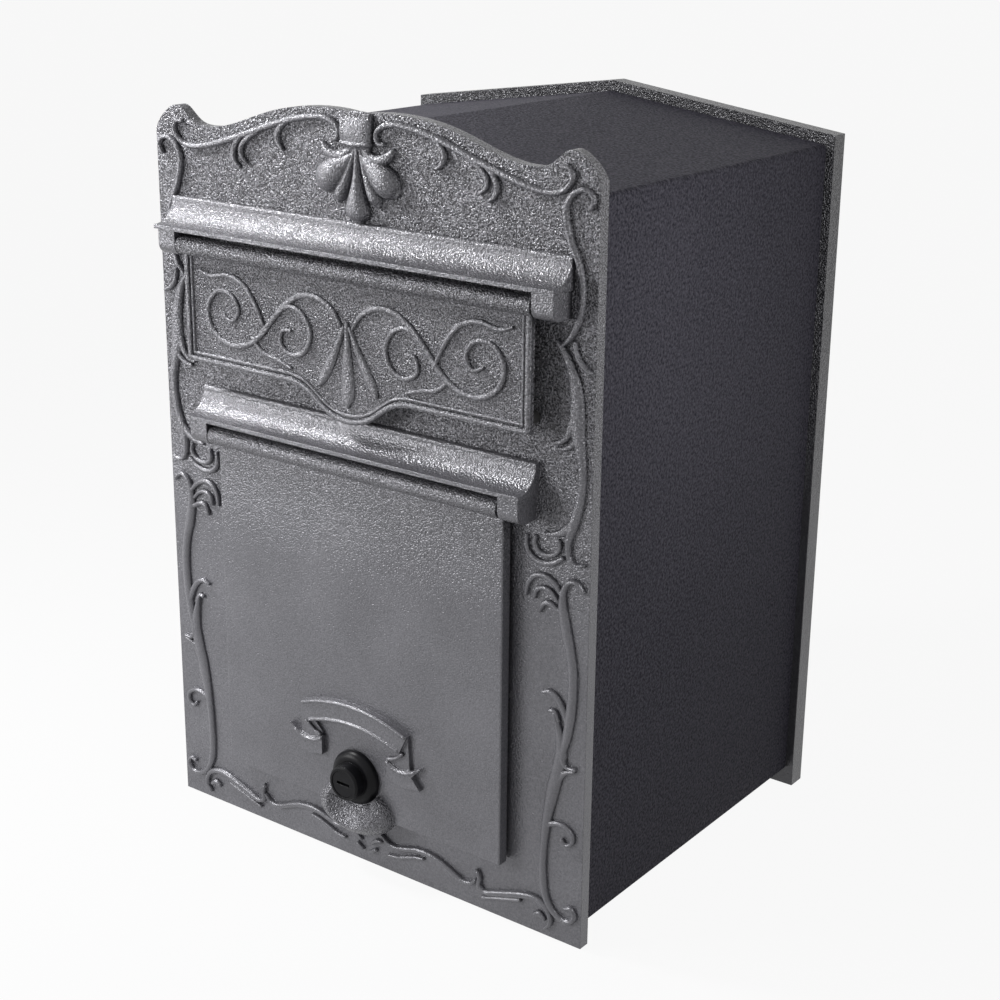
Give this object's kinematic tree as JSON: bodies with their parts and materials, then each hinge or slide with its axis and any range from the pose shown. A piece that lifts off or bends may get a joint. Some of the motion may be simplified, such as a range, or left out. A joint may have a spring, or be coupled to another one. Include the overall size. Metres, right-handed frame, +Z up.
{
  "type": "wall mounted post box",
  "caption": "Lockable wall mounted post box with a scrolled cast front, hooded top-hung posting flap and collection door with a cam lock, on a gabled steel body and cast back plate.",
  "frame": {"origin": "centre of the four wall screws, on the wall face of the back plate", "axes": "+X to the right as seen from the street, +Y into the wall, +Z up"},
  "size_m": [0.2626, 0.2333, 0.3756],
  "materials": {
    "casting_paint": "cast aluminium in hammered graphite enamel",
    "sheet_paint": "sheet steel in fine textured black powder coat",
    "black_lock": "satin black",
    "zinc_steel": "zinc plated",
    "black_rubber": "matt"
  },
  "bodies": {
    "box": {"front_plate": "casting_paint", "upper_hood": "casting_paint", "lower_hood": "casting_paint", "upper_hood_screws": "zinc_steel", "lower_hood_screws": "zinc_steel", "flap_pin": "zinc_steel", "flap_buffers": "black_rubber", "door_pin": "zinc_steel", "door_buffers": "black_rubber", "body_shell": "sheet_paint", "body_floor": "sheet_paint", "front_screws": "zinc_steel", "back_screws": "zinc_steel", "back_plate": "casting_paint"},
    "flap": {"posting_flap": "casting_paint"},
    "door": {"collection_door": "casting_paint", "lock_housing": "black_lock", "lock_nut": "zinc_steel"},
    "cam": {"lock_plug": "black_lock", "lock_cam": "zinc_steel", "cam_washer": "zinc_steel", "cam_bolt": "zinc_steel"}
  },
  "joints": [
    {"name": "flap_hinge", "type": "hinge", "parent": "box", "child": "flap", "pos_m": [0, -0.225, 0.1192], "axis": [-1, 0, 0], "range_deg": [0, 130]},
    {"name": "door_hinge", "type": "hinge", "parent": "box", "child": "door", "pos_m": [0, -0.225, 0.0263], "axis": [-1, 0, 0], "range_deg": [0, 150]},
    {"name": "lock_turn", "type": "hinge", "parent": "door", "child": "cam", "pos_m": [0, -0.215, -0.134], "axis": [0, 1, 0], "range_deg": [0, 90]}
  ]
}
